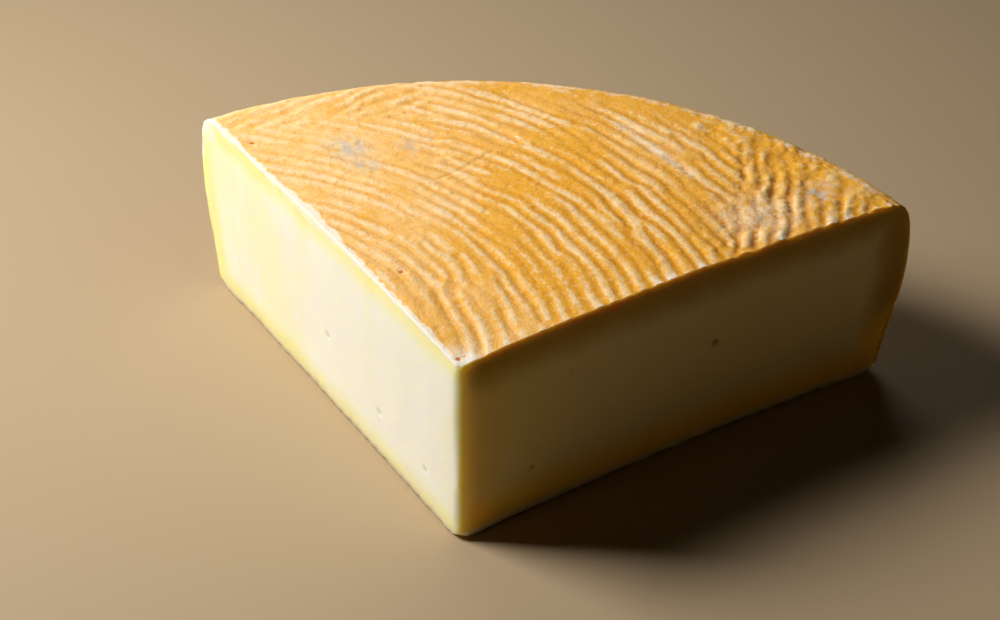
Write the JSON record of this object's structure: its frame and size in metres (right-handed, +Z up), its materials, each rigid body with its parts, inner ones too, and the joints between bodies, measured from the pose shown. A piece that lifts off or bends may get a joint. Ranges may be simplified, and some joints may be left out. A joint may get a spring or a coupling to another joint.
{
  "type": "raclette quarter wheel",
  "caption": "Wedge cut as a quarter from a washed-rind raclette wheel: ridged orange rind on top, rounded heel, two smooth pale cut faces. Lies flat on its underside.",
  "frame": {"origin": "middle of the outline in plan, on the flat underside that the cheese lies on", "axes": "+Z up; +Y towards the rounded heel, with the upright corner between the two cut faces on the -Y side; +X to the right, across the widest part"},
  "size_m": [0.2298, 0.164, 0.065],
  "materials": {
    "washed_rind_cheese": null
  },
  "bodies": {
    "root": {"cheese_quarter_wheel": "washed_rind_cheese"}
  },
  "joints": []
}
